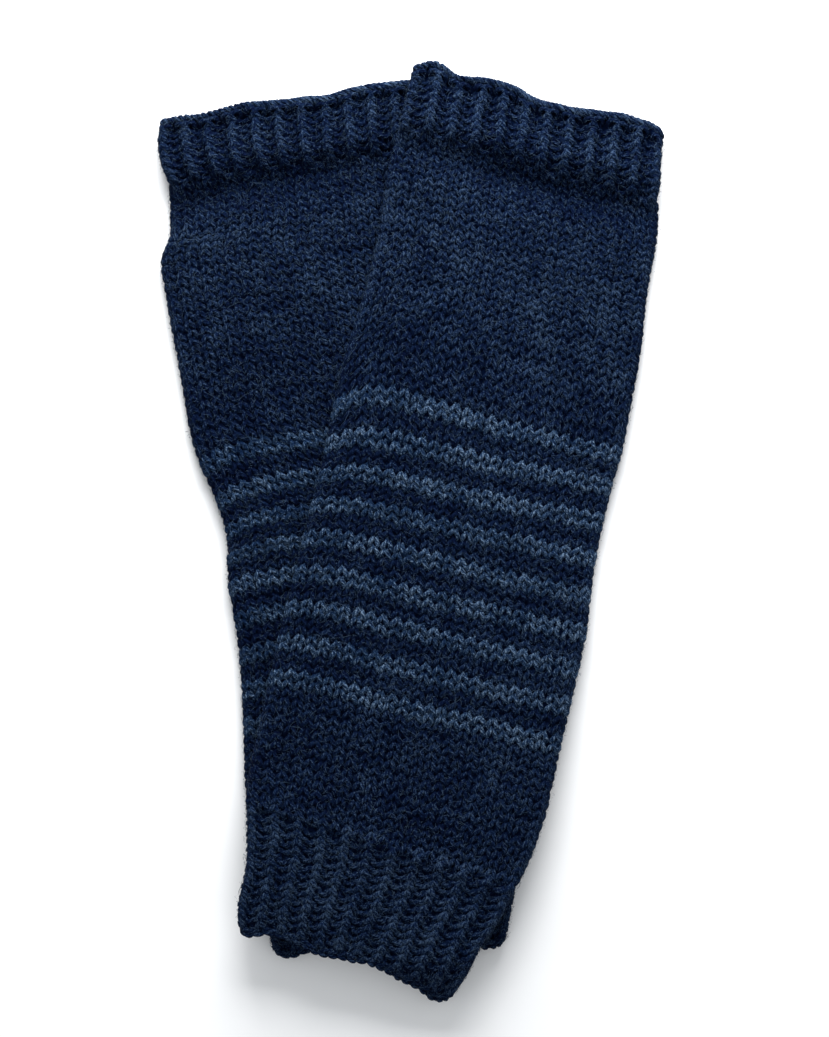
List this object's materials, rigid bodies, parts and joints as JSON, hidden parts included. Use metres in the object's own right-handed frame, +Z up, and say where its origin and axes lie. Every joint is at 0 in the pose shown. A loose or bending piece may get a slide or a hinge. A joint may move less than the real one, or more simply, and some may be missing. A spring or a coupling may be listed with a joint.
{
  "type": "pair of knitted hand warmers",
  "caption": "Two long knitted wrist tubes with ribbed ends and narrow stripes, laid flat one across the other, to keep hands and wrists warm.",
  "frame": {"origin": "on the table, under the middle of the pair's bounding box", "axes": "+Y towards the wide ribbed ends, +X to the right as the pair is seen from above, +Z up from the table"},
  "size_m": [0.1578, 0.2912, 0.0144],
  "materials": {
    "navy_wool": "matte heathered wool yarn, hand knitted, with a short halo of fibres",
    "grey_wool": "matte heathered grey-blue wool yarn of the stripes"
  },
  "bodies": {
    "root": {"lower_wide_rib": "navy_wool", "lower_body": "navy_wool", "lower_narrow_rib": "navy_wool", "upper_wide_rib": "navy_wool", "upper_body": "navy_wool", "upper_narrow_rib": "navy_wool"}
  },
  "joints": []
}
